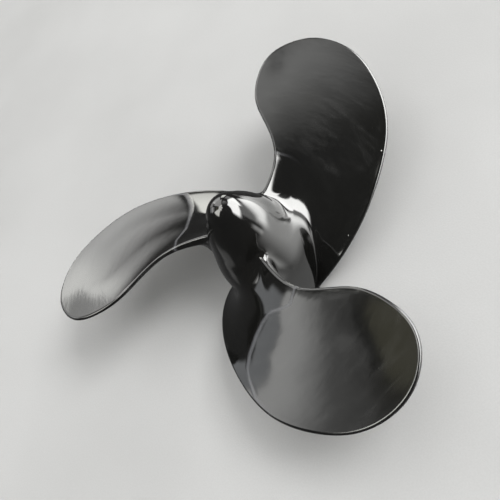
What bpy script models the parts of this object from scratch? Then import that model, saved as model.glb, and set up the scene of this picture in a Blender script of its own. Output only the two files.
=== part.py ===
"""Small outboard ship propeller: hub and three blades in one painted aluminium casting.

Metres, +Z up along the shaft axis, nose up. The origin is the flat blind end of the shaft bore.
"""
import math

import bmesh
import bpy
import numpy as np
from mathutils import Vector

# Blade face: a helicoid with rake, wound right-handed
BLADE_COUNT = 3
FIRST_BLADE_AZIMUTH = math.radians(30.0)
TIP_RADIUS = 0.092
PITCH = 0.120
RAKE = -0.09
RAKE_CURVE = 1.0
RAKE_DATUM = 0.020

# Blade outline: arc length from the root line, at even steps of a turn that runs from the
# trailing edge's root over the tip to the leading edge's root
TRAILING_ROOT_RADIUS = 0.017
LEADING_ROOT_RADIUS = 0.0225
OUTLINE_ARC = (0.0, -0.005, -0.0205, -0.0285, -0.029, -0.0215, -0.010,
               0.0045, 0.018, 0.031, 0.038, 0.0415, 0.0415)
OUTLINE_STEPS = 60
SPINE_TIP_RADIUS = 0.066

# Blade thickness
EDGE_HALF_THICKNESS = 0.0009
ROOT_THICKNESS = 0.0055
TIP_THICKNESS = 0.0026
THINNING_POWER = 0.7
THICKENING_WIDTH = 0.016
AFT_SHARE = 0.3
RING_COUNT = 9
RING_POWER = 2.2

# Blade root, which runs on inside the hub, with a fillet on each face that fades towards the
# front end, and a blunt trailing edge on the front face
BURIED_RADIUS = 0.009
BURIED_STEPS = 3
AFT_FILLET_RADIUS = 0.005
FORE_FILLET_RADIUS = 0.019
FILLET_LIMIT = 0.9
FILLET_FADE = 0.028
BLUNT_EDGE = 0.0030
BLUNT_EDGE_REACH = 0.040
ROOT_CLEARANCE = 0.0005

# Hub: one bullet curve, given by its radii at even steps from the nose to the flat front end.
# Its rings lie closer together towards the nose.
NOSE_Z = 0.022
HUB_RADII = (0.0, 0.0089, 0.0130, 0.0157, 0.0183, 0.0205, 0.0216, 0.0224, 0.02295)
HUB_STEPS = 22
NOSE_CROWDING = 1.4
HUB_FRONT_Z = -0.037
FRONT_EDGE_RADIUS = 0.0012
FRONT_EDGE_STEPS = 3
SEGMENTS = 60

# Front end: blind shaft bore, recess round its boss, drive pin slot
BORE_RADIUS = 0.005
RECESS_DEPTH = 0.012
RECESS_INNER_RADIUS = 0.0095
RECESS_OUTER_RADIUS = 0.0180
PIN_SLOT_WIDTH = 0.004
PIN_SLOT_DEPTH = 0.006
CUT_PAST = 0.004

# Paint
PAINT_COLOUR = (0.012, 0.012, 0.013, 1.0)
PAINT_ROUGHNESS = 0.08


def clear_scene():
    for item in list(bpy.data.objects):
        bpy.data.objects.remove(item, do_unlink=True)


def gloss_black_paint():
    material = bpy.data.materials.new("gloss_black_paint")
    material.use_nodes = True
    shader = material.node_tree.nodes["Principled BSDF"]
    shader.inputs["Base Color"].default_value = PAINT_COLOUR
    shader.inputs["Roughness"].default_value = PAINT_ROUGHNESS
    shader.inputs["Metallic"].default_value = 0.0
    return material


def natural_spline(values):
    """Function from a place between 0 and 1 to the natural cubic spline through even knots."""
    count = len(values)
    system = np.eye(count)
    right = np.zeros(count)
    for i in range(1, count - 1):
        system[i, i - 1:i + 2] = (1.0, 4.0, 1.0)
        right[i] = 6.0 * (values[i - 1] - 2.0 * values[i] + values[i + 1])
    bend = np.linalg.solve(system, right)

    def read(place):
        knot = min(max(place, 0.0), 1.0) * (count - 1)
        low = min(int(knot), count - 2)
        t = knot - low
        u = 1.0 - t
        curve = (u ** 3 - u) * bend[low] + (t ** 3 - t) * bend[low + 1]
        return float(u * values[low] + t * values[low + 1] + curve / 6.0)

    return read


outline_arc = natural_spline(OUTLINE_ARC)
hub_square = natural_spline([radius ** 2 for radius in HUB_RADII])


def hub_radius(z):
    """Outer radius of the hub at height z. Its square is smooth, so the nose is round."""
    return math.sqrt(max(hub_square((NOSE_Z - z) / (NOSE_Z - HUB_FRONT_Z)), 0.0))


def surface_point(radius, angle):
    """Point of the blade's middle surface."""
    out = radius - RAKE_DATUM
    z = -PITCH * angle / (2.0 * math.pi) + RAKE * out + RAKE_CURVE * out ** 2
    return Vector((radius * math.cos(angle), -radius * math.sin(angle), z))


def surface_normal(radius, angle):
    """Unit normal of the middle surface, towards the nose."""
    step = 1e-5
    turn = step / radius
    out = surface_point(radius + step, angle) - surface_point(radius - step, angle)
    along = surface_point(radius, angle + turn) - surface_point(radius, angle - turn)
    return along.cross(out).normalized()


def root_radius(turn):
    return TRAILING_ROOT_RADIUS if turn < 0.0 else LEADING_ROOT_RADIUS


def blade_edge():
    """Radius and arc along the blade's edge, with both ends run on inside the hub."""
    edge = []
    for step in range(OUTLINE_STEPS + 1):
        even = 2.0 * step / OUTLINE_STEPS - 1.0
        turn = (even + math.sin(math.pi * even / 2.0)) / 2.0
        root = root_radius(turn)
        radius = root + (TIP_RADIUS - root) * math.cos(math.pi * turn / 2.0)
        edge.append((radius, outline_arc((turn + 1.0) / 2.0)))
    trailing, leading = edge[0], edge[-1]
    for step in range(1, BURIED_STEPS + 1):
        part = step / BURIED_STEPS
        for end in (trailing, leading):
            radius = end[0] + (BURIED_RADIUS - end[0]) * part
            point = (radius, end[1] * radius / end[0])
            edge.insert(0 if end is trailing else len(edge), point)
    return edge


def blade_spine(edge):
    """Middle line at even steps of radius, to which the rows from both edges run."""
    middle = len(edge) // 2
    pairs = list(zip(edge, reversed(edge)))[:middle + 1]
    radii = [(first[0] + second[0]) / 2.0 for first, second in pairs]
    angles = [(first[1] / first[0] + second[1] / second[0]) / 2.0 for first, second in pairs]
    spine = []
    for i in range(middle + 1):
        radius = BURIED_RADIUS + (SPINE_TIP_RADIUS - BURIED_RADIUS) * i / middle
        spine.append((radius, radius * float(np.interp(radius, radii, angles))))
    return spine + spine[-2::-1]


def smooth_step(share):
    share = min(max(share, 0.0), 1.0)
    return share * share * (3.0 - 2.0 * share)


def face_offset(radius, angle, depth, side):
    """Distance from the middle surface to a face, at a depth inside the blade's edge."""
    out = min(max((radius - RAKE_DATUM) / (TIP_RADIUS - RAKE_DATUM), 0.0), 1.0)
    thickness = ROOT_THICKNESS + (TIP_THICKNESS - ROOT_THICKNESS) * out ** THINNING_POWER
    share = AFT_SHARE if side > 0.0 else 1.0 - AFT_SHARE
    swell = (thickness - 2.0 * EDGE_HALF_THICKNESS) * share
    offset = EDGE_HALF_THICKNESS + swell * smooth_step(depth / THICKENING_WIDTH)
    z = surface_point(radius, angle).z
    fillet = AFT_FILLET_RADIUS if side > 0.0 else FORE_FILLET_RADIUS
    near = min(max(1.0 - (radius - hub_radius(z)) / fillet, 0.0), FILLET_LIMIT)
    flare = fillet * (1.0 - math.sqrt(1.0 - near * near))
    if side < 0.0:
        flare += BLUNT_EDGE * smooth_step((BLUNT_EDGE_REACH - radius) / (BLUNT_EDGE_REACH - RAKE_DATUM))
    flare *= smooth_step((z - HUB_FRONT_Z) / FILLET_FADE)
    rim = EDGE_HALF_THICKNESS + flare
    rounding = math.sqrt(1.0 - max(1.0 - depth / rim, 0.0) ** 2)
    return (offset + flare) * rounding


def blade_rows(edge, spine, side, rim):
    """Rows of vertices from the rim inward, on one face; the last is the shared spine."""
    count = len(edge)
    mesh_rows = [rim]
    for ring in range(1, RING_COUNT + 1):
        part = (ring / RING_COUNT) ** RING_POWER
        row = []
        for i in range(count):
            if ring == RING_COUNT and i > count // 2:
                row.append(row[count - 1 - i])
                continue
            radius = edge[i][0] + (spine[i][0] - edge[i][0]) * part
            arc = edge[i][1] + (spine[i][1] - edge[i][1]) * part
            angle = arc / radius
            place = surface_point(radius, angle)
            depth = (place - surface_point(edge[i][0], edge[i][1] / edge[i][0])).length
            offset = face_offset(radius, angle, depth, side)
            row.append(place + side * offset * surface_normal(radius, angle))
        mesh_rows.append(row)
    return mesh_rows


def distinct(corners):
    return [corner for k, corner in enumerate(corners) if corner not in corners[:k]]


def blade_mesh():
    """Closed blade from its edge inward to the spine, on both faces, cut level at the front."""
    edge = blade_edge()
    spine = blade_spine(edge)
    last = len(edge) - 1
    mesh = bmesh.new()
    rim = [mesh.verts.new(surface_point(radius, arc / radius)) for radius, arc in edge]
    faces = []
    for side in (1.0, -1.0):
        rows = blade_rows(edge, spine, side, rim)
        for row in rows[1:]:
            for i, point in enumerate(row):
                mirror = last - i
                shared = row is rows[-1] and mirror < i
                row[i] = row[mirror] if shared else mesh.verts.new(point)
        for outer, inner in zip(rows[:-1], rows[1:]):
            for i in range(last):
                mesh.faces.new(distinct([outer[i], outer[i + 1], inner[i + 1], inner[i]]))
        faces.append(rows)
    aft, fore = faces
    for end in (0, last):
        for ring in range(RING_COUNT):
            mesh.faces.new(distinct([aft[ring][end], aft[ring + 1][end],
                                     fore[ring + 1][end], fore[ring][end]]))
    bmesh.ops.recalc_face_normals(mesh, faces=mesh.faces)
    whole = mesh.verts[:] + mesh.edges[:] + mesh.faces[:]
    cut = bmesh.ops.bisect_plane(mesh, geom=whole, clear_outer=True, plane_no=(0.0, 0.0, -1.0),
                                 plane_co=(0.0, 0.0, HUB_FRONT_Z + ROOT_CLEARANCE))
    open_edges = [part for part in cut["geom_cut"] if isinstance(part, bmesh.types.BMEdge)]
    bmesh.ops.holes_fill(mesh, edges=open_edges, sides=0)
    return mesh


def turned_mesh(profile, closed=False):
    """Solid turned about Z: a profile from axis to axis, or a closed one clear of the axis."""
    mesh = bmesh.new()
    rings = []
    for radius, height in profile:
        count = 1 if radius == 0.0 else SEGMENTS
        ring = []
        for step in range(count):
            angle = 2.0 * math.pi * (step + 0.5) / SEGMENTS
            ring.append(mesh.verts.new((radius * math.cos(angle), radius * math.sin(angle), height)))
        rings.append(ring)
    following = rings[1:] + (rings[:1] if closed else [])
    for first, second in zip(rings, following):
        for step in range(SEGMENTS):
            after = (step + 1) % SEGMENTS
            mesh.faces.new(distinct([first[step % len(first)], first[after % len(first)],
                                     second[after % len(second)], second[step % len(second)]]))
    bmesh.ops.recalc_face_normals(mesh, faces=mesh.faces)
    return mesh


def hub_mesh():
    bottom = HUB_FRONT_Z + FRONT_EDGE_RADIUS
    profile = [(0.0, NOSE_Z)]
    for step in range(1, HUB_STEPS + 1):
        z = NOSE_Z + (bottom - NOSE_Z) * (step / HUB_STEPS) ** NOSE_CROWDING
        profile.append((hub_radius(z), z))
    inner = hub_radius(bottom) - FRONT_EDGE_RADIUS
    for step in range(1, FRONT_EDGE_STEPS + 1):
        angle = math.pi / 2.0 * step / FRONT_EDGE_STEPS
        profile.append((inner + FRONT_EDGE_RADIUS * math.cos(angle),
                        bottom - FRONT_EDGE_RADIUS * math.sin(angle)))
    profile.append((0.0, HUB_FRONT_Z))
    return turned_mesh(profile)


def bore_mesh():
    below = HUB_FRONT_Z - CUT_PAST
    return turned_mesh(((0.0, 0.0), (BORE_RADIUS, 0.0), (BORE_RADIUS, below), (0.0, below)))


def recess_mesh():
    below = HUB_FRONT_Z - CUT_PAST
    floor = HUB_FRONT_Z + RECESS_DEPTH
    return turned_mesh(((RECESS_INNER_RADIUS, below), (RECESS_OUTER_RADIUS, below),
                        (RECESS_OUTER_RADIUS, floor), (RECESS_INNER_RADIUS, floor)), closed=True)


def pin_slot_mesh():
    mesh = bmesh.new()
    bmesh.ops.create_cube(mesh, size=1.0)
    length = 2.0 * (RECESS_INNER_RADIUS + CUT_PAST)
    size = Vector((length, PIN_SLOT_WIDTH, 2.0 * PIN_SLOT_DEPTH))
    bmesh.ops.scale(mesh, vec=size, verts=mesh.verts)
    bmesh.ops.translate(mesh, vec=(0.0, 0.0, HUB_FRONT_Z), verts=mesh.verts)
    return mesh


def mesh_data(name, mesh, material):
    data = bpy.data.meshes.new(name)
    mesh.to_mesh(data)
    mesh.free()
    data.materials.append(material)
    data.shade_smooth()
    return data


def place(name, data, guide=False):
    item = bpy.data.objects.new(name, data)
    bpy.context.scene.collection.objects.link(item)
    if guide:
        item.hide_render = True
        item.display_type = "WIRE"
    return item


def join(casting, other, operation):
    step = casting.modifiers.new(other.name, "BOOLEAN")
    step.operation = operation
    step.solver = "EXACT"
    step.object = other


def build():
    clear_scene()
    paint = gloss_black_paint()
    casting = place("propeller_casting", mesh_data("hub", hub_mesh(), paint))
    blade = mesh_data("blade", blade_mesh(), paint)
    for number in range(BLADE_COUNT):
        item = place("blade_%d" % (number + 1), blade, guide=True)
        item.rotation_euler.z = FIRST_BLADE_AZIMUTH + 2.0 * math.pi * number / BLADE_COUNT
        join(casting, item, "UNION")
    for name, make in (("bore", bore_mesh), ("recess", recess_mesh), ("pin_slot", pin_slot_mesh)):
        cutter = place(name + "_cutter", mesh_data(name, make(), paint), guide=True)
        join(casting, cutter, "DIFFERENCE")


build()
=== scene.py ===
"""Looks of a small gloss black outboard propeller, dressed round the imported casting.

Metres, in the part's own frame: +Z up along the shaft axis, nose up.
"""
import math

import bmesh
import bpy
import numpy as np
from mathutils import Matrix, Vector


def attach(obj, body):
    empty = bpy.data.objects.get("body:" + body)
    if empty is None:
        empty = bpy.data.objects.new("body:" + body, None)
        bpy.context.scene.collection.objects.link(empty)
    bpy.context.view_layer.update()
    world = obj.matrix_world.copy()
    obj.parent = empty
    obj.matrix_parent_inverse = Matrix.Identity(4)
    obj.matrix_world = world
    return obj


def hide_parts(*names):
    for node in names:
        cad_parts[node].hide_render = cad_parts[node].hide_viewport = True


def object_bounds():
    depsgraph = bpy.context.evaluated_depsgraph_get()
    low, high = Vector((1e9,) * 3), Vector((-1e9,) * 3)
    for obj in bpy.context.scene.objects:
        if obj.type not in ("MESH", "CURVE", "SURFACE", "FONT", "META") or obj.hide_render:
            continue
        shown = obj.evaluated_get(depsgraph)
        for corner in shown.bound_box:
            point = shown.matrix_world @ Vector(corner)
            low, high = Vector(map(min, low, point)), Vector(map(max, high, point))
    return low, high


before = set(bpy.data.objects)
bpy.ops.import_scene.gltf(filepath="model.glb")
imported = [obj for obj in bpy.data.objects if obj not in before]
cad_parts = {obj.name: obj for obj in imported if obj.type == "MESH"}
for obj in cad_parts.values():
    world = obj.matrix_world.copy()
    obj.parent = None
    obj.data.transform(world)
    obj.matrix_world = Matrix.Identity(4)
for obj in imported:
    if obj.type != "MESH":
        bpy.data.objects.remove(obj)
cad_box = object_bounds()

# Camera, in the part's frame
CAMERA_PLACE = Vector((0.0273768, -0.1404093, 0.1808275))
CAMERA_FORWARD = Vector((-0.1332, 0.5801, -0.8036))
CAMERA_UP = Vector((0.6109, 0.6865, 0.3944))
CAMERA_LENS = 41.884
SENSOR = 36.0
CLIP_START, CLIP_END = 0.005, 20.0

# Blade face: a helicoid with rake, wound right-handed
BLADE_COUNT = 3
FIRST_BLADE_AZIMUTH = math.radians(30.0)
TIP_RADIUS = 0.092
PITCH = 0.120
RAKE = -0.09
RAKE_CURVE = 1.0
RAKE_DATUM = 0.020

# Blade outline, from the trailing edge's root over the tip to the leading edge's root
TRAILING_ROOT_RADIUS = 0.017
LEADING_ROOT_RADIUS = 0.0225
OUTLINE_ARC = (0.0, -0.005, -0.0205, -0.0285, -0.029, -0.0215, -0.010,
               0.0045, 0.018, 0.031, 0.038, 0.0415, 0.0415)
OUTLINE_STEPS = 216
SPINE_TIP_RADIUS = 0.066

# Blade thickness
EDGE_HALF_THICKNESS = 0.0009
ROOT_THICKNESS = 0.0055
TIP_THICKNESS = 0.0026
THINNING_POWER = 1.4
THICKENING_WIDTH = 0.016
AFT_SHARE = 0.3
BLUNT_EDGE = 0.0024
BLUNT_EDGE_REACH = 0.040
INNERMOST_SHARE = -0.2
RIM_RINGS = 8
FACE_RINGS = 17
FACE_RING_POWER = 1.5

# Blade root
BURIED_RADIUS = 0.009
BURIED_STEPS = 3
ROOT_CLEARANCE = 0.0005
AFT_BLEND, AFT_EDGE_BLEND, AFT_TAPER = 0.015, 0.0025, 0.014
FORE_BLEND, FORE_EDGE_BLEND, FORE_TAPER = 0.022, 0.005, 0.009
BLEND_SIDE_WIDTH = 0.0015
BLEND_START_Z = -0.0345
BLEND_FADE = 0.028
FINE_LENGTH, FINE_DEPTH = 0.0006, 1e-5

# Hub: one bullet curve, given by its radii at even steps from the nose to the flat front end
NOSE_Z = 0.022
HUB_RADII = (0.0, 0.0089, 0.0130, 0.0157, 0.0183, 0.0205, 0.0216, 0.0224, 0.02295)
BLUNT_NOSE_SQUARE, BLUNT_NOSE_DEPTH = 7e-6, 0.0035
HUB_STEPS = 100
NOSE_CROWDING = 1.4
HUB_FRONT_Z = -0.037
HUB_LENGTH = NOSE_Z - HUB_FRONT_Z
FRONT_EDGE_RADIUS = 0.0012
FRONT_EDGE_STEPS = 6
SEGMENTS = 168

# Front end: blind shaft bore, recess round its boss, drive pin slot
BORE_RADIUS = 0.005
RECESS_DEPTH = 0.012
RECESS_INNER_RADIUS = 0.0095
RECESS_OUTER_RADIUS = 0.0180
PIN_SLOT_WIDTH = 0.004
PIN_SLOT_DEPTH = 0.006
SMALL_EDGE = 0.0003

# Where a blade is looked for: turn round the shaft, where the turn starts over, reach off the
# middle surface, and the distance given where no blade is near
BLADE_TURN = (-1.6, 3.2)
TURN_SEAM = -2.0
REACH = 0.030
FAR = 1.0

# Steps, tolerances and passes of the fairing
HUB_STEP, GRADIENT_STEP = 1e-5, 2e-6
SKIN_TOLERANCE, RIM_MARGIN, ON_AXIS = 1.5e-4, 1e-5, 1e-7
LEAST_MOVE, LEAST_WIDTH = 1e-8, 1e-9
FOOT_PASSES, FAIR_PASSES = 3, 4
BLOCK = 20000
SHARP_ANGLE = math.radians(40.0)

# Border of each blade's ground face, as radius and arc from the trailing edge inward
GROUND_BORDERS = (
    ((0.0345, -0.0120), (0.0345, -0.0020), (0.0355, 0.0030), (0.0350, 0.0080), (0.0360, 0.0140),
     (0.0395, 0.0210), (0.0450, 0.0280), (0.0500, 0.0325), (0.0580, 0.0350), (0.0680, 0.0320),
     (0.0780, 0.0250)),
    ((0.0320, -0.0120), (0.0320, -0.0007), (0.0330, 0.0026), (0.0323, 0.0061), (0.0321, 0.0097),
     (0.0341, 0.0141), (0.0370, 0.0195), (0.0388, 0.0226), (0.0419, 0.0269), (0.0472, 0.0330),
     (0.0515, 0.0373), (0.0600, 0.0390)),
    ((0.0368, -0.0120), (0.0368, -0.0035), (0.0378, -0.0014), (0.0393, 0.0010), (0.0380, 0.0045),
     (0.0357, 0.0100), (0.0376, 0.0150), (0.0409, 0.0202), (0.0476, 0.0278), (0.0527, 0.0317),
     (0.0573, 0.0330), (0.0643, 0.0337), (0.0740, 0.0290), (0.0820, 0.0200)),
)
# Where the ground area is closed, past the tip and past the trailing edge
GROUND_PAST = (0.11, -0.06)
MARK_SPAN = 0.010
MARK_REACH = 0.004

# Paint. Noises: scale per metre, detail, roughness, twist. Steps: start, end, value at each.
PAINT_COOL = (0.0045, 0.0048, 0.0053, 1.0)
PAINT_WARM = (0.0085, 0.0082, 0.0065, 1.0)
TINT_NOISE = (22.0, 3.0, 0.55)
PAINT_HAZE, SMEAR_HAZE = (0.016, 0.016, 0.0155, 1.0), (0.45, 0.75, 0.0, 0.35)
SMEAR_NOISE, SMEAR_ROUGHNESS = (30.0, 4.0, 0.6, 1.2), (0.3, 0.75, 0.055, 0.09)
WAVE_NOISE, WAVE_HEIGHT = (60.0, 1.5, 0.4, 0.4), 0.00004
PEEL_NOISE, PEEL_HEIGHT = (800.0, 2.0), 0.000001
STREAKS_PER_METRE, STREAK_TURNS, STREAK_NOISE = 200.0, 4.0, (1.0, 3.0, 0.6, 0.3)
STREAK_HEIGHT, STREAK_ROUGHNESS = 0.000045, 0.06
STREAK_COLOUR, STREAK_HAZE = (0.026, 0.026, 0.025, 1.0), (0.45, 0.75, 0.0, 0.5)
GROUND_STEP = (0.0, 0.25)
# Line along each ground border: a raised, rougher crease; its lighter colour is a painted highlight
LINE_WIDTH, LINE_HEIGHT = 0.11, 0.00003
LINE_SIDE = (0.034, 0.024)
LINE_FADE = (0.078, 0.060)
LINE_PAINTED_HIGHLIGHT, LINE_ROUGHNESS = (0.075, 0.075, 0.08, 1.0), 0.2
DUST_CELLS_PER_METRE, DUST_SHARE, DUST_SIZE, DUST_SOFTNESS = 260.0, 0.955, 0.09, 0.02
DUST_COLOUR, DUST_HEIGHT, DUST_ROUGHNESS = (0.55, 0.55, 0.52, 1.0), 0.00005, 0.5

# Floor and room. Floor profile: radius, height.
FLOOR_PROFILE = ((0.0, 0.0), (1.0, 0.0), (2.0, 0.0), (3.0, 0.0), (3.38, 0.076), (3.71, 0.293),
                 (3.92, 0.617), (4.0, 1.0), (4.0, 4.0))
FLOOR_SIDES = 96
FLOOR_LOW, FLOOR_HIGH = (0.53, 0.53, 0.522, 1.0), (0.59, 0.59, 0.582, 1.0)
CLOUD_NOISE, CLOUD_STEP, CLOUD_ROUGHNESS = (7.0, 3.0), (0.3, 0.7), (0.2, 0.8, 0.5, 0.6)
FLOOR_GRAIN, GRAIN_NOISE = (0.43, 0.43, 0.422, 1.0), (1400.0, 2.0)
GRAIN_STEP, GRAIN_HEIGHT = (0.35, 0.65, 0.0, 0.12), 0.00005
GLOW_COLOUR, GLOW_STEP = (1.0, 1.0, 0.99, 1.0), (0.5, 3.0, 0.0, 0.4)
ROOM_LIGHT = 0.10

# Soft boxes of the room, seen only in reflections: lowest and highest azimuth, lowest and highest
# elevation, rise of the top edge per degree of azimuth, soft edges in degrees on the four sides,
# radiance, tint
WHITE = (1.0, 1.0, 0.98)
CREAM = (1.0, 1.0, 0.94)
OLIVE = (1.0, 0.95, 0.62)
BLUISH = (0.94, 0.97, 1.0)
REFLECTED_BOXES = (
    ((0.0, 360.0, 83.5, 91.0, 0.0), (0.0, 0.0, 3.0, 0.0), 10.0, CREAM),
    ((50.0, 214.0, 70.0, 86.0, 0.0), (8.0, 6.0, 6.0, 3.0), 10.0, CREAM),
    ((64.0, 122.0, 34.0, 75.0, 0.0), (6.0, 6.0, 10.0, 6.0), 4.5, WHITE),
    ((160.0, 212.0, 38.0, 76.0, 0.0), (4.0, 6.0, 10.0, 6.0), 11.0, CREAM),
    ((206.0, 240.0, 73.0, 86.0, 0.0), (6.0, 8.0, 4.0, 3.0), 10.0, CREAM),
    ((-62.0, -2.0, 11.0, 45.0, 0.5), (16.0, 6.0, 5.0, 6.0), 22.0, WHITE),
    ((-8.0, 40.0, 5.0, 49.0, -0.5), (6.0, 11.0, 6.0, 6.0), 21.0, WHITE),
    ((36.0, 60.0, 8.0, 34.0, 0.0), (6.0, 8.0, 6.0, 8.0), 2.5, WHITE),
    ((-46.0, 34.0, -20.0, 3.0, 0.0), (24.0, 8.0, 14.0, 7.0), 14.0, WHITE),
    ((-64.0, -44.0, -13.0, 6.0, 0.0), (12.0, 8.0, 5.0, 6.0), 4.5, WHITE),
    ((-44.0, 14.0, -2.0, 14.0, 0.0), (10.0, 6.0, 2.0, 4.0), 2.2, WHITE),
    ((-94.0, 40.0, -36.0, -4.0, 0.0), (66.0, 10.0, 16.0, 10.0), 4.0, WHITE),
    ((-110.0, 30.0, -76.0, -26.0, 0.0), (12.0, 10.0, 10.0, 8.0), 0.8, WHITE),
    ((158.0, 196.0, -38.0, -16.0, 0.0), (10.0, 10.0, 8.0, 8.0), 0.35, WHITE),
    ((60.0, 75.0, 2.0, 26.0, 0.0), (4.0, 1.5, 4.0, 4.0), 8.0, CREAM),
    ((76.0, 110.5, 7.0, 40.0, 0.0), (3.0, 1.5, 20.0, 3.0), 4.8, WHITE),
    ((99.0, 110.5, 14.0, 40.0, 0.0), (9.0, 1.5, 10.0, 3.0), 2.4, CREAM),
    ((108.5, 128.0, 8.0, 35.0, 0.0), (2.0, 4.0, 8.0, 6.0), 2.3, WHITE),
    ((126.0, 154.0, 25.5, 50.5, 0.0), (3.0, 2.5, 2.5, 17.0), 4.2, WHITE),
    ((126.0, 150.0, 14.5, 27.0, 0.0), (3.0, 4.0, 2.5, 1.5), 1.8, BLUISH),
    ((151.5, 158.0, 22.0, 54.0, 0.0), (2.5, 2.0, 8.0, 5.0), 1.0, WHITE),
    ((126.0, 156.0, 45.0, 54.5, 0.0), (3.0, 2.0, 3.0, 2.0), 0.45, WHITE),
    ((126.0, 156.0, 56.8, 68.0, 0.0), (3.0, 2.0, 1.3, 3.0), 0.65, OLIVE),
    ((-4.0, 60.0, 46.0, 76.0, 0.0), (60.0, 4.0, 5.0, 24.0), 2.6, WHITE),
)

# Soft boxes that light the floor and the paint's own colour: name, azimuth and elevation, distance,
# side, radiance
FLOOR_BOXES = (
    ("soft_key", (-15.0, 48.0), 2.0, 0.9, 10.0),
    ("soft_top", (60.0, 84.0), 2.5, 3.0, 1.5),
)


def natural_spline(values):
    """Function from places between 0 and 1 to the natural cubic spline through even knots."""
    values = np.array(values, float)
    count = len(values)
    system = np.eye(count)
    right = np.zeros(count)
    for i in range(1, count - 1):
        system[i, i - 1:i + 2] = (1.0, 4.0, 1.0)
        right[i] = 6.0 * (values[i - 1] - 2.0 * values[i] + values[i + 1])
    bend = np.linalg.solve(system, right)

    def read(place):
        knot = np.clip(place, 0.0, 1.0) * (count - 1)
        low = np.minimum(knot.astype(int), count - 2)
        t = knot - low
        u = 1.0 - t
        curve = (u ** 3 - u) * bend[low] + (t ** 3 - t) * bend[low + 1]
        return u * values[low] + t * values[low + 1] + curve / 6.0

    return read


def smooth_step(share):
    share = np.clip(share, 0.0, 1.0)
    return share * share * (3.0 - 2.0 * share)


outline_arc = natural_spline(OUTLINE_ARC)
even_hub_square = natural_spline(np.square(HUB_RADII))


def hub_square(share):
    """Square of the hub's radius, with the nose's cap a little blunter than the even curve."""
    deep = np.maximum(share, 0.0) * HUB_LENGTH / BLUNT_NOSE_DEPTH
    return even_hub_square(share) + BLUNT_NOSE_SQUARE * deep * np.exp(1.0 - deep)


def hub_radius(z):
    return np.sqrt(np.maximum(hub_square(np.asarray((NOSE_Z - z) / HUB_LENGTH)), 0.0))


def surface_point(radius, angle):
    """Points of the blade's middle surface."""
    out = radius - RAKE_DATUM
    z = -PITCH * angle / (2.0 * math.pi) + RAKE * out + RAKE_CURVE * out ** 2
    return np.stack((radius * np.cos(angle), -radius * np.sin(angle), z), -1)


def surface_normal(radius, angle):
    """Unit normals of the middle surface, towards the nose."""
    slope = RAKE + 2.0 * RAKE_CURVE * (radius - RAKE_DATUM)
    climb = PITCH / (2.0 * math.pi)
    sine, cosine = np.sin(angle), np.cos(angle)
    normal = np.stack((-radius * cosine * slope - climb * sine,
                       radius * sine * slope - climb * cosine, radius), -1)
    return normal / np.linalg.norm(normal, axis=-1, keepdims=True)


def blade_edge():
    """Radius and arc along the blade's edge, with both ends run on inside the hub."""
    even = np.linspace(-1.0, 1.0, OUTLINE_STEPS + 1)
    turn = (even + np.sin(math.pi * even / 2.0)) / 2.0
    root = np.where(turn < 0.0, TRAILING_ROOT_RADIUS, LEADING_ROOT_RADIUS)
    radius = root + (TIP_RADIUS - root) * np.cos(math.pi * turn / 2.0)
    arc = outline_arc((turn + 1.0) / 2.0)
    part = np.arange(1, BURIED_STEPS + 1) / BURIED_STEPS
    head = radius[0] + (BURIED_RADIUS - radius[0]) * part[::-1]
    tail = radius[-1] + (BURIED_RADIUS - radius[-1]) * part
    radii = np.concatenate((head, radius, tail))
    arcs = np.concatenate((arc[0] * head / radius[0], arc, arc[-1] * tail / radius[-1]))
    return radii, arcs


EDGE_RADII, EDGE_ARCS = blade_edge()
EDGE_POINTS = surface_point(EDGE_RADII, EDGE_ARCS / EDGE_RADII)
TIP_STATION = len(EDGE_RADII) // 2


def edge_depth(radius, angle):
    """Distance inside the blade's edge, along the middle surface; below zero outside."""
    places = surface_point(radius, angle)
    starts = EDGE_POINTS[:-1]
    runs = EDGE_POINTS[1:] - starts
    squares = (runs ** 2).sum(-1)
    nearest = np.empty(len(places))
    for low in range(0, len(places), BLOCK):
        block = places[low:low + BLOCK]
        along = block @ runs.T - (starts * runs).sum(-1)
        share = np.clip(along / squares, 0.0, 1.0)
        # |p - s - t run|^2, opened up so that no large array of vectors is needed
        gap = ((block ** 2).sum(-1)[:, None] - 2.0 * block @ starts.T + (starts ** 2).sum(-1)
               - 2.0 * share * along + share ** 2 * squares)
        nearest[low:low + BLOCK] = np.sqrt(np.maximum(gap.min(-1), 0.0))
    trailing = np.interp(radius, EDGE_RADII[:TIP_STATION + 1],
                         (EDGE_ARCS / EDGE_RADII)[:TIP_STATION + 1])
    leading = np.interp(radius, EDGE_RADII[TIP_STATION:][::-1],
                        (EDGE_ARCS / EDGE_RADII)[TIP_STATION:][::-1])
    inside = (angle > trailing) & (angle < leading) & (radius < TIP_RADIUS)
    return np.where(inside, nearest, -nearest)


def rim_radius(radius, z, side):
    """Half thickness of the rounded edge: thicker near the root on the front face."""
    blunt = BLUNT_EDGE * smooth_step((BLUNT_EDGE_REACH - radius) / (BLUNT_EDGE_REACH - RAKE_DATUM))
    blunt = blunt * smooth_step((z - HUB_FRONT_Z) / BLEND_FADE)
    return EDGE_HALF_THICKNESS + np.where(side < 0.0, blunt, 0.0)


def half_thickness(radius, depth, rim, side):
    """Distance from the middle surface to a face, from the rim's inner end inward."""
    out = np.clip((radius - RAKE_DATUM) / (TIP_RADIUS - RAKE_DATUM), INNERMOST_SHARE, 1.0)
    thickness = TIP_THICKNESS + (ROOT_THICKNESS - TIP_THICKNESS) * (1.0 - out) ** THINNING_POWER
    share = np.where(side < 0.0, 1.0 - AFT_SHARE, AFT_SHARE)
    swell = (thickness - 2.0 * EDGE_HALF_THICKNESS) * share
    return rim + swell * smooth_step((depth - rim) / THICKENING_WIDTH)


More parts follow.
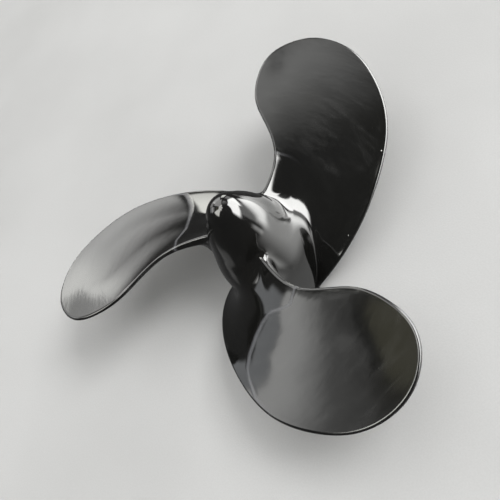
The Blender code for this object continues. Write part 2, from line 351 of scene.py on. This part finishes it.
def blade_distance(points):
    """Signed distance to the blade at azimuth 0, with its offset and depth inside the edge."""
    foot = points
    for _ in range(FOOT_PASSES):
        radius = np.hypot(foot[:, 0], foot[:, 1])
        angle = -np.arctan2(foot[:, 1], foot[:, 0])
        angle = np.where(angle < TURN_SEAM, angle + 2.0 * math.pi, angle)
        normal = surface_normal(radius, angle)
        middle = surface_point(radius, angle)
        offset = ((points - middle) * normal).sum(-1)
        foot = points - offset[:, None] * normal
    distance = np.full(len(points), FAR)
    depth = np.zeros(len(points))
    near = np.flatnonzero((radius > BURIED_RADIUS) & (np.abs(offset) < REACH)
                          & (angle > BLADE_TURN[0]) & (angle < BLADE_TURN[1]))
    radius, angle, middle, away = radius[near], angle[near], middle[near], offset[near]
    inward = edge_depth(radius, angle)
    side = np.where(away < 0.0, -1.0, 1.0)
    rim = rim_radius(radius, middle[:, 2], side)
    face = half_thickness(radius, inward, rim, side)
    rounded = np.hypot(rim - inward, away) - rim
    distance[near] = np.where(inward < rim, rounded, np.abs(away) - face)
    depth[near] = inward
    return distance, offset, depth


def hub_distance(points):
    """Signed distance to the hub's outer skin."""
    depth = NOSE_Z - points[:, 2]
    square = hub_square(depth / HUB_LENGTH)
    rise = hub_square((depth - HUB_STEP) / HUB_LENGTH) - hub_square((depth + HUB_STEP) / HUB_LENGTH)
    slope = rise / (2.0 * HUB_STEP)
    radius = np.hypot(points[:, 0], points[:, 1])
    return (radius ** 2 - square) / np.sqrt(4.0 * radius ** 2 + slope ** 2)


def turned(points, angle):
    sine, cosine = math.sin(angle), math.cos(angle)
    return np.stack((points[:, 0] * cosine - points[:, 1] * sine,
                     points[:, 0] * sine + points[:, 1] * cosine, points[:, 2]), -1)


def casting_distance(points):
    """Signed distance to the casting with the blades faired into the hub, and without."""
    result = hub_distance(points)
    plain = result.copy()
    fade = smooth_step((points[:, 2] - BLEND_START_Z) / BLEND_FADE) ** 2
    for number in range(BLADE_COUNT):
        azimuth = FIRST_BLADE_AZIMUTH + 2.0 * math.pi * number / BLADE_COUNT
        blade, offset, depth = blade_distance(turned(points, -azimuth))
        aft = smooth_step((offset / BLEND_SIDE_WIDTH + 1.0) / 2.0)
        above = AFT_EDGE_BLEND + (AFT_BLEND - AFT_EDGE_BLEND) * smooth_step(depth / AFT_TAPER)
        below = FORE_EDGE_BLEND + (FORE_BLEND - FORE_EDGE_BLEND) * smooth_step(depth / FORE_TAPER)
        width = (below + (above - below) * aft) * fade + LEAST_WIDTH
        near = np.maximum(width - np.abs(result - blade), 0.0) / width
        result = np.minimum(result, blade) - near ** 3 * width / 6.0
        plain = np.minimum(plain, blade)
    return result, plain


def gradient(points):
    """Value and gradient of casting_distance, by small steps."""
    value = casting_distance(points)[0]
    parts = []
    for axis in range(3):
        shift = np.zeros(3)
        shift[axis] = GRADIENT_STEP
        parts.append((casting_distance(points + shift)[0] - value) / GRADIENT_STEP)
    return value, np.stack(parts, -1)


def distinct(corners):
    return [corner for k, corner in enumerate(corners) if corner not in corners[:k]]


def blade_rows(side):
    """Rows of points from the rim inward on one face."""
    middle = TIP_STATION
    radii = (EDGE_RADII + EDGE_RADII[::-1])[:middle + 1] / 2.0
    angles = (EDGE_ARCS / EDGE_RADII + (EDGE_ARCS / EDGE_RADII)[::-1])[:middle + 1] / 2.0
    spine_radii = np.linspace(BURIED_RADIUS, SPINE_TIP_RADIUS, middle + 1)
    spine_arcs = spine_radii * np.interp(spine_radii, radii, angles)
    spine_radii = np.concatenate((spine_radii, spine_radii[-2::-1]))
    spine_arcs = np.concatenate((spine_arcs, spine_arcs[-2::-1]))
    length = np.hypot(spine_radii - EDGE_RADII, spine_arcs - EDGE_ARCS)
    rim = rim_radius(EDGE_RADII, EDGE_POINTS[:, 2], side)
    rows = []
    for ring in range(1, RIM_RINGS + FACE_RINGS + 1):
        if ring <= RIM_RINGS:
            deep = rim * (1.0 - math.cos(math.pi / 2.0 * ring / RIM_RINGS))
        else:
            deep = rim + (length - rim) * ((ring - RIM_RINGS) / FACE_RINGS) ** FACE_RING_POWER
        part = deep / length
        radius = EDGE_RADII + (spine_radii - EDGE_RADII) * part
        arc = EDGE_ARCS + (spine_arcs - EDGE_ARCS) * part
        angle = arc / radius
        depth = np.maximum(edge_depth(radius, angle), 0.0)
        place = surface_point(radius, angle)
        sides = np.full(len(radius), side)
        here = rim_radius(radius, place[:, 2], sides)
        face = half_thickness(radius, depth, here, sides)
        rounding = np.sqrt(np.maximum(here ** 2 - (here - depth) ** 2, 0.0))
        offset = np.where(depth < here, rounding, face)
        rows.append(place + side * offset[:, None] * surface_normal(radius, angle))
    return rows


def blade_mesh():
    """Closed blade from its edge inward to the spine, on both faces, cut level at the front."""
    last = len(EDGE_RADII) - 1
    mesh = bmesh.new()
    rim = [mesh.verts.new(point) for point in EDGE_POINTS]
    sheets = []
    for side in (1.0, -1.0):
        rows = [rim]
        points = blade_rows(side)
        for number, row in enumerate(points):
            made = []
            for i, point in enumerate(row):
                shared = number == len(points) - 1 and i > TIP_STATION
                made.append(made[last - i] if shared else mesh.verts.new(point))
            rows.append(made)
        for outer, inner in zip(rows[:-1], rows[1:]):
            for i in range(last):
                mesh.faces.new(distinct([outer[i], outer[i + 1], inner[i + 1], inner[i]]))
        sheets.append(rows)
    aft, fore = sheets
    for end in (0, last):
        for ring in range(len(aft) - 1):
            mesh.faces.new(distinct([aft[ring][end], aft[ring + 1][end],
                                     fore[ring + 1][end], fore[ring][end]]))
    bmesh.ops.recalc_face_normals(mesh, faces=mesh.faces)
    whole = mesh.verts[:] + mesh.edges[:] + mesh.faces[:]
    cut = bmesh.ops.bisect_plane(mesh, geom=whole, clear_outer=True, plane_no=(0.0, 0.0, -1.0),
                                 plane_co=(0.0, 0.0, HUB_FRONT_Z + ROOT_CLEARANCE))
    open_edges = [part for part in cut["geom_cut"] if isinstance(part, bmesh.types.BMEdge)]
    bmesh.ops.holes_fill(mesh, edges=open_edges, sides=0)
    bmesh.ops.triangulate(mesh, faces=mesh.faces[:])
    return mesh


def hub_profile():
    """Radius and height of the hub's skin and of its front end, from the nose to the bore's end."""
    bottom = HUB_FRONT_Z + FRONT_EDGE_RADIUS
    profile = [(0.0, NOSE_Z)]
    for step in range(1, HUB_STEPS + 1):
        z = NOSE_Z + (bottom - NOSE_Z) * (step / HUB_STEPS) ** NOSE_CROWDING
        profile.append((float(hub_radius(z)), z))
    inner = float(hub_radius(bottom)) - FRONT_EDGE_RADIUS
    for step in range(1, FRONT_EDGE_STEPS + 1):
        angle = math.pi / 2.0 * step / FRONT_EDGE_STEPS
        profile.append((inner + FRONT_EDGE_RADIUS * math.cos(angle),
                        bottom - FRONT_EDGE_RADIUS * math.sin(angle)))
    floor = HUB_FRONT_Z + RECESS_DEPTH
    profile += [
        (RECESS_OUTER_RADIUS + SMALL_EDGE, HUB_FRONT_Z),
        (RECESS_OUTER_RADIUS, HUB_FRONT_Z + SMALL_EDGE),
        (RECESS_OUTER_RADIUS, floor),
        (RECESS_INNER_RADIUS, floor),
        (RECESS_INNER_RADIUS, HUB_FRONT_Z + SMALL_EDGE),
        (RECESS_INNER_RADIUS - SMALL_EDGE, HUB_FRONT_Z),
        (BORE_RADIUS + SMALL_EDGE, HUB_FRONT_Z),
        (BORE_RADIUS, HUB_FRONT_Z + SMALL_EDGE),
        (BORE_RADIUS, 0.0),
        (0.0, 0.0),
    ]
    return profile


def hub_mesh():
    mesh = bmesh.new()
    rings = []
    for radius, height in hub_profile():
        count = 1 if radius == 0.0 else SEGMENTS
        ring = []
        for step in range(count):
            angle = 2.0 * math.pi * (step + 0.5) / SEGMENTS
            ring.append(mesh.verts.new((radius * math.cos(angle), radius * math.sin(angle),
                                        height)))
        rings.append(ring)
    for first, second in zip(rings, rings[1:]):
        for step in range(SEGMENTS):
            after = (step + 1) % SEGMENTS
            mesh.faces.new(distinct([first[step % len(first)], first[after % len(first)],
                                     second[after % len(second)], second[step % len(second)]]))
    bmesh.ops.recalc_face_normals(mesh, faces=mesh.faces)
    bmesh.ops.triangulate(mesh, faces=mesh.faces[:])
    return mesh


def pin_slot_mesh():
    mesh = bmesh.new()
    bmesh.ops.create_cube(mesh, size=1.0)
    length = RECESS_INNER_RADIUS + RECESS_OUTER_RADIUS
    bmesh.ops.scale(mesh, vec=(length, PIN_SLOT_WIDTH, 2.0 * PIN_SLOT_DEPTH), verts=mesh.verts)
    bmesh.ops.translate(mesh, vec=(0.0, 0.0, HUB_FRONT_Z), verts=mesh.verts)
    bmesh.ops.triangulate(mesh, faces=mesh.faces[:])
    return mesh


def add_object(name, mesh):
    data = bpy.data.meshes.new(name)
    mesh.to_mesh(data)
    mesh.free()
    item = bpy.data.objects.new(name, data)
    bpy.context.scene.collection.objects.link(item)
    return item


def casting_mesh():
    """Hub and blades joined, with the pin slot cut."""
    rough = add_object("rough_casting", hub_mesh())
    helpers = [rough]
    for number in range(BLADE_COUNT):
        blade = add_object("rough_blade_%d" % (number + 1), blade_mesh())
        blade.rotation_euler.z = FIRST_BLADE_AZIMUTH + 2.0 * math.pi * number / BLADE_COUNT
        helpers.append(blade)
        step = rough.modifiers.new(blade.name, "BOOLEAN")
        step.operation, step.solver, step.object = "UNION", "MANIFOLD", blade
    slot = add_object("pin_slot_cutter", pin_slot_mesh())
    helpers.append(slot)
    step = rough.modifiers.new(slot.name, "BOOLEAN")
    step.operation, step.solver, step.object = "DIFFERENCE", "MANIFOLD", slot
    bpy.context.view_layer.update()
    joined = rough.evaluated_get(bpy.context.evaluated_depsgraph_get())
    data = bpy.data.meshes.new_from_object(joined)
    for item in helpers:
        bpy.data.objects.remove(item, do_unlink=True)
    return data


def refine(data):
    """Halves the long edges where the blades are faired into the hub."""
    points = np.empty(len(data.vertices) * 3)
    data.vertices.foreach_get("co", points)
    smooth, plain = casting_distance(points.reshape(-1, 3))
    faired = (np.abs(plain) < SKIN_TOLERANCE) & (plain - smooth > FINE_DEPTH)
    mesh = bmesh.new()
    mesh.from_mesh(data)
    mesh.verts.ensure_lookup_table()
    edges = [edge for edge in mesh.edges if edge.calc_length() > FINE_LENGTH
             and faired[edge.verts[0].index] and faired[edge.verts[1].index]]
    bmesh.ops.subdivide_edges(mesh, edges=edges, cuts=1)
    bmesh.ops.triangulate(mesh, faces=mesh.faces[:])
    mesh.to_mesh(data)
    mesh.free()


def fair(data):
    """Moves the skin on to the faired surface, inside the CAD box, with that surface's normals."""
    count = len(data.vertices)
    points = np.empty(count * 3)
    data.vertices.foreach_get("co", points)
    points = points.reshape(-1, 3)
    smooth, plain = casting_distance(points)
    above_rim = points[:, 2] > HUB_FRONT_Z + FRONT_EDGE_RADIUS + RIM_MARGIN
    on_skin = (np.abs(plain) < SKIN_TOLERANCE) & above_rim
    moving = np.flatnonzero(on_skin & (plain - smooth > LEAST_MOVE))
    for _ in range(FAIR_PASSES):
        here = points[moving]
        value, slope = gradient(here)
        points[moving] = here - slope * (value / (slope ** 2).sum(-1))[:, None]
    points = np.clip(points, cad_box[0], cad_box[1])
    data.vertices.foreach_set("co", points.astype(np.float32).ravel())
    data.update()
    data.shade_smooth()
    data.set_sharp_from_angle(angle=SHARP_ANGLE)
    normals = np.empty(len(data.loops) * 3)
    data.corner_normals.foreach_get("vector", normals)
    normals = normals.reshape(-1, 3)
    skin = np.flatnonzero(on_skin)
    slope = gradient(points[skin])[1]
    of_vertex = np.zeros((count, 3))
    of_vertex[skin] = slope / np.linalg.norm(slope, axis=-1, keepdims=True)
    of_vertex[np.hypot(points[:, 0], points[:, 1]) < ON_AXIS] = (0.0, 0.0, 1.0)
    corners = np.empty(len(data.loops), np.int32)
    data.loops.foreach_get("vertex_index", corners)
    loose = on_skin[corners]
    normals[loose] = of_vertex[corners[loose]]
    data.normals_split_custom_set([tuple(normal) for normal in normals])


def inside_outline(points, outline):
    """True for the points inside a closed outline, by the even-odd rule."""
    inside = np.zeros(len(points), bool)
    x, y = points[:, 0], points[:, 1]
    for (x0, y0), (x1, y1) in zip(outline, np.roll(outline, -1, axis=0)):
        if y0 != y1:
            spans = (y0 > y) != (y1 > y)
            inside ^= spans & (x < (x1 - x0) * (y - y0) / (y1 - y0) + x0)
    return inside


def border_distance(radius, arc, border):
    """Signed distance to a blade's ground border, above zero on the ground face."""
    places = np.stack((radius, arc), -1)
    border = np.array(border)
    nearest = np.full(len(places), FAR)
    for start, end in zip(border[:-1], border[1:]):
        run = end - start
        share = np.clip((places - start) @ run / (run @ run), 0.0, 1.0)
        gap = np.linalg.norm(places - start - share[:, None] * run, axis=-1)
        nearest = np.minimum(nearest, gap)
    past_tip, past_edge = GROUND_PAST
    outline = np.concatenate((border, [(past_tip, border[-1][1]), (past_tip, past_edge),
                                       (border[0][0], past_edge)]))
    return np.where(inside_outline(places, outline), nearest, -nearest)


def mark_borders(data):
    """Stores, for the paint, how far each vertex lies from its blade's ground border."""
    count = len(data.vertices)
    points = np.empty(count * 3)
    data.vertices.foreach_get("co", points)
    points = points.reshape(-1, 3)
    closest = np.full(count, FAR)
    mark = np.full(count, -1.0)
    for number, border in enumerate(GROUND_BORDERS):
        azimuth = FIRST_BLADE_AZIMUTH + 2.0 * math.pi * number / BLADE_COUNT
        local = turned(points, -azimuth)
        distance = np.abs(blade_distance(local)[0])
        radius = np.hypot(local[:, 0], local[:, 1])
        arc = -np.arctan2(local[:, 1], local[:, 0]) * radius
        signed = border_distance(radius, arc, border) / MARK_SPAN
        nearer = distance < np.minimum(closest, MARK_REACH)
        mark = np.where(nearer, np.clip(signed, -1.0, 1.0), mark)
        closest = np.minimum(closest, distance)
    layer = data.attributes.new("border", "FLOAT", "POINT")
    layer.data.foreach_set("value", mark.astype(np.float32))


# Numbers of sockets
OBJECT_SPACE, WORLD_DIRECTION, ATTRIBUTE_FACTOR = 3, 0, 2
MIX_SHARE, MIX_FIRST, MIX_SECOND, MIX_RESULT = 0, 6, 7, 2


class Net:
    """Short way to write a node tree: each call makes a node and returns its first output."""

    def __init__(self, tree):
        self.tree = tree

    def feed(self, socket, value):
        if isinstance(value, bpy.types.NodeSocket):
            self.tree.links.new(value, socket)
        elif value is not None:
            socket.default_value = value

    def add(self, kind, *values, out=0, named=None, **settings):
        node = self.tree.nodes.new(kind)
        for name, value in settings.items():
            setattr(node, name, value)
        for socket, value in zip(node.inputs, values):
            self.feed(socket, value)
        for name, value in (named or {}).items():
            self.feed(node.inputs[name], value)
        return node.outputs[out]

    def math(self, operation, *values):
        return self.add("ShaderNodeMath", *values, operation=operation)

    def split(self, vector):
        node = self.tree.nodes.new("ShaderNodeSeparateXYZ")
        self.feed(node.inputs[0], vector)
        return node.outputs

    def hypotenuse(self, x, y):
        squares = self.math("ADD", self.math("MULTIPLY", x, x), self.math("MULTIPLY", y, y))
        return self.math("SQRT", squares)

    def noise(self, vector, scale, detail=2.0, rough=0.5, twist=0.0):
        named = {"Vector": vector, "Scale": scale, "Detail": detail, "Roughness": rough,
                 "Distortion": twist}
        return self.add("ShaderNodeTexNoise", named=named)

    def step(self, value, low, high, bottom=0.0, top=1.0):
        return self.add("ShaderNodeMapRange", value, low, high, bottom, top,
                        interpolation_type="SMOOTHSTEP")

    def blend(self, share, first, second):
        node = self.tree.nodes.new("ShaderNodeMix")
        node.data_type = "RGBA"
        self.feed(node.inputs[MIX_SHARE], share)
        self.feed(node.inputs[MIX_FIRST], first)
        self.feed(node.inputs[MIX_SECOND], second)
        return node.outputs[MIX_RESULT]

    def bump(self, height, distance, normal=None):
        named = {"Height": height, "Distance": distance}
        if normal is not None:
            named["Normal"] = normal
        return self.add("ShaderNodeBump", named=named)


def new_material(name):
    material = bpy.data.materials.new(name)
    material.use_nodes = True
    shader = material.node_tree.nodes["Principled BSDF"]
    return material, Net(material.node_tree), shader


def gloss_paint():
    """Gloss black paint: hand-ground waves and streaks under it, smears and dust on it, and a
    raised crease along each ground border whose lighter colour is a painted highlight.
    """
    material, net, shader = new_material("gloss_black_paint")
    place = net.add("ShaderNodeTexCoord", out=OBJECT_SPACE)
    x, y, z = net.split(place)
    radius = net.hypotenuse(x, y)
    turn = net.math("ARCTAN2", y, x)
    border = net.add("ShaderNodeAttribute", attribute_name="border", out=ATTRIBUTE_FACTOR)
    ground = net.step(border, *GROUND_STEP)

    # Streaks run along the chord, so they are fine across the radius and long round the shaft
    streak_place = net.add("ShaderNodeCombineXYZ",
                           net.math("MULTIPLY", radius, STREAKS_PER_METRE),
                           net.math("MULTIPLY", turn, STREAK_TURNS),
                           net.math("MULTIPLY", z, STREAK_TURNS))
    streaks = net.noise(streak_place, *STREAK_NOISE)
    waves = net.noise(place, *WAVE_NOISE)
    peel = net.noise(place, *PEEL_NOISE)
    smears = net.noise(place, *SMEAR_NOISE)
    tint = net.noise(place, *TINT_NOISE)

    # Dust: few cells of a fine cell pattern hold a grain
    grain = net.tree.nodes.new("ShaderNodeTexVoronoi")
    net.feed(grain.inputs["Vector"], place)
    grain.inputs["Scale"].default_value = DUST_CELLS_PER_METRE
    kept = net.add("ShaderNodeTexWhiteNoise", grain.outputs["Position"])
    size = net.step(kept, DUST_SHARE, 1.0, 0.0, DUST_SIZE)
    dust = net.step(net.math("SUBTRACT", size, grain.outputs["Distance"]), 0.0, DUST_SOFTNESS)

    colour = net.blend(tint, PAINT_COOL, PAINT_WARM)
    colour = net.blend(net.step(smears, *SMEAR_HAZE), colour, PAINT_HAZE)
    ground_streaks = net.math("MULTIPLY", streaks, ground)
    rough = net.math("ADD", net.step(smears, *SMEAR_ROUGHNESS),
                     net.math("MULTIPLY", ground_streaks, STREAK_ROUGHNESS))
    # A raised, rougher crease along the ground border, with a painted highlight in its lighter
    # colour
    crease_and_highlight = net.math("SUBTRACT", 1.0, net.step(net.math("ABSOLUTE", border), 0.0, LINE_WIDTH))
    crease_and_highlight = net.math("MULTIPLY", crease_and_highlight, net.step(radius, *LINE_FADE))
    crease_and_highlight = net.math("MULTIPLY", crease_and_highlight, net.step(x, *LINE_SIDE))
    haze = net.math("MULTIPLY", net.step(streaks, *STREAK_HAZE), ground)
    colour = net.blend(haze, colour, STREAK_COLOUR)
    colour = net.blend(crease_and_highlight, colour, LINE_PAINTED_HIGHLIGHT)
    colour = net.blend(dust, colour, DUST_COLOUR)
    rough = net.math("ADD", rough, net.math("MULTIPLY", crease_and_highlight, LINE_ROUGHNESS))
    rough = net.math("ADD", rough, net.math("MULTIPLY", dust, DUST_ROUGHNESS))
    normal = net.bump(waves, WAVE_HEIGHT)
    normal = net.bump(ground_streaks, STREAK_HEIGHT, normal)
    normal = net.bump(crease_and_highlight, LINE_HEIGHT, normal)
    normal = net.bump(peel, PEEL_HEIGHT, normal)
    normal = net.bump(dust, DUST_HEIGHT, normal)
    net.feed(shader.inputs["Base Color"], colour)
    net.feed(shader.inputs["Roughness"], rough)
    net.feed(shader.inputs["Normal"], normal)
    return material


def floor_material():
    """Pale matt board with faint clouds and grain, which glows a little far from the part."""
    material, net, shader = new_material("pale_floor")
    place = net.add("ShaderNodeTexCoord", out=OBJECT_SPACE)
    clouds = net.noise(place, *CLOUD_NOISE)
    grain = net.noise(place, *GRAIN_NOISE)
    colour = net.blend(net.step(clouds, *CLOUD_STEP), FLOOR_LOW, FLOOR_HIGH)
    colour = net.blend(net.step(grain, *GRAIN_STEP), colour, FLOOR_GRAIN)
    net.feed(shader.inputs["Base Color"], colour)
    net.feed(shader.inputs["Roughness"], net.step(clouds, *CLOUD_ROUGHNESS))
    net.feed(shader.inputs["Normal"], net.bump(grain, GRAIN_HEIGHT))
    shader.inputs["Specular IOR Level"].default_value = 0.0
    x, y = net.split(place)[:2]
    glow = net.step(net.hypotenuse(x, y), *GLOW_STEP)
    net.feed(shader.inputs["Emission Strength"], glow)
    shader.inputs["Emission Color"].default_value = GLOW_COLOUR
    return material


def direction(azimuth, elevation):
    azimuth, elevation = math.radians(azimuth), math.radians(elevation)
    return Vector((math.cos(azimuth) * math.cos(elevation), math.sin(azimuth) * math.cos(elevation),
                   math.sin(elevation)))


def floor_box(name, place_angles, distance, side, strength):
    """Square area light that faces the casting, out of the view and of the reflections."""
    light = bpy.data.lights.new(name, "AREA")
    light.shape, light.size = "SQUARE", side
    light.energy = strength * math.pi * side ** 2
    back = direction(*place_angles)
    across = Vector((0.0, 0.0, 1.0)).cross(back).normalized()
    turn = Matrix((across, back.cross(across), back)).transposed().to_4x4()
    lamp = bpy.data.objects.new(name, light)
    lamp.matrix_world = Matrix.Translation(back * distance) @ turn
    lamp.visible_camera = False
    lamp.visible_glossy = False
    bpy.context.scene.collection.objects.link(lamp)


def make_world():
    """Dim room with soft boxes on its walls, for reflections alone."""
    world = bpy.data.worlds.new("room")
    world.use_nodes = True
    net = Net(world.node_tree)
    x, y, z = net.split(net.add("ShaderNodeTexCoord", out=WORLD_DIRECTION))
    azimuth = net.math("DEGREES", net.math("ARCTAN2", y, x))
    elevation = net.math("DEGREES", net.math("ARCSINE", z))
    total = (ROOM_LIGHT, ROOM_LIGHT, ROOM_LIGHT)
    for (left, right, low, high, lean), softs, strength, tint in REFLECTED_BOXES:
        middle, half = (left + right) / 2.0, (right - left) / 2.0
        away = net.math("WRAP", net.math("SUBTRACT", azimuth, middle), 180.0, -180.0)
        under = elevation
        if lean:
            under = net.math("SUBTRACT", elevation, net.math("MULTIPLY", away, lean))
        power = strength
        for value, start, end in ((away, -half, softs[0] - half), (away, half, half - softs[1]),
                                  (elevation, low, low + softs[2]), (under, high, high - softs[3])):
            if start != end:
                power = net.math("MULTIPLY", power, net.step(value, start, end))
        glow = net.add("ShaderNodeVectorMath", tint, operation="SCALE", named={"Scale": power})
        total = net.add("ShaderNodeVectorMath", total, glow, operation="ADD")
    background = world.node_tree.nodes["Background"]
    net.feed(background.inputs["Color"], total)
    bpy.context.scene.world = world
    world.cycles_visibility.diffuse = False


def make_floor():
    """Round pale floor that curves up into a backdrop, left out of the reflections."""
    mesh = bmesh.new()
    rings = []
    for radius, height in FLOOR_PROFILE:
        count = FLOOR_SIDES if radius else 1
        rings.append([mesh.verts.new((radius * math.cos(2.0 * math.pi * k / FLOOR_SIDES),
                                      radius * math.sin(2.0 * math.pi * k / FLOOR_SIDES), height))
                      for k in range(count)])
    for first, second in zip(rings, rings[1:]):
        for k in range(FLOOR_SIDES):
            after = (k + 1) % FLOOR_SIDES
            mesh.faces.new(distinct([first[k % len(first)], second[k], second[after],
                                     first[after % len(first)]]))
    floor = add_object("floor", mesh)
    floor.location.z = HUB_FRONT_Z
    floor.data.shade_smooth()
    floor.data.materials.append(floor_material())
    floor.visible_glossy = False
    floor.visible_shadow = False


def make_camera():
    data = bpy.data.cameras.new("camera")
    data.lens, data.sensor_width = CAMERA_LENS, SENSOR
    data.clip_start, data.clip_end = CLIP_START, CLIP_END
    camera = bpy.data.objects.new("camera", data)
    forward = CAMERA_FORWARD.normalized()
    right = forward.cross(CAMERA_UP).normalized()
    up = right.cross(forward)
    turn = Matrix((right, up, -forward)).transposed().to_4x4()
    camera.matrix_world = Matrix.Translation(CAMERA_PLACE) @ turn
    bpy.context.scene.collection.objects.link(camera)
    bpy.context.scene.camera = camera


casting_data = casting_mesh()
refine(casting_data)
fair(casting_data)
mark_borders(casting_data)
casting = bpy.data.objects.new("casting", casting_data)
bpy.context.scene.collection.objects.link(casting)
casting_data.materials.clear()
casting_data.materials.append(gloss_paint())
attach(casting, "root")
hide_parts("propeller_casting")
make_camera()

make_floor()
make_world()
for box_row in FLOOR_BOXES:
    floor_box(*box_row)
bpy.context.scene.view_settings.view_transform = "Standard"
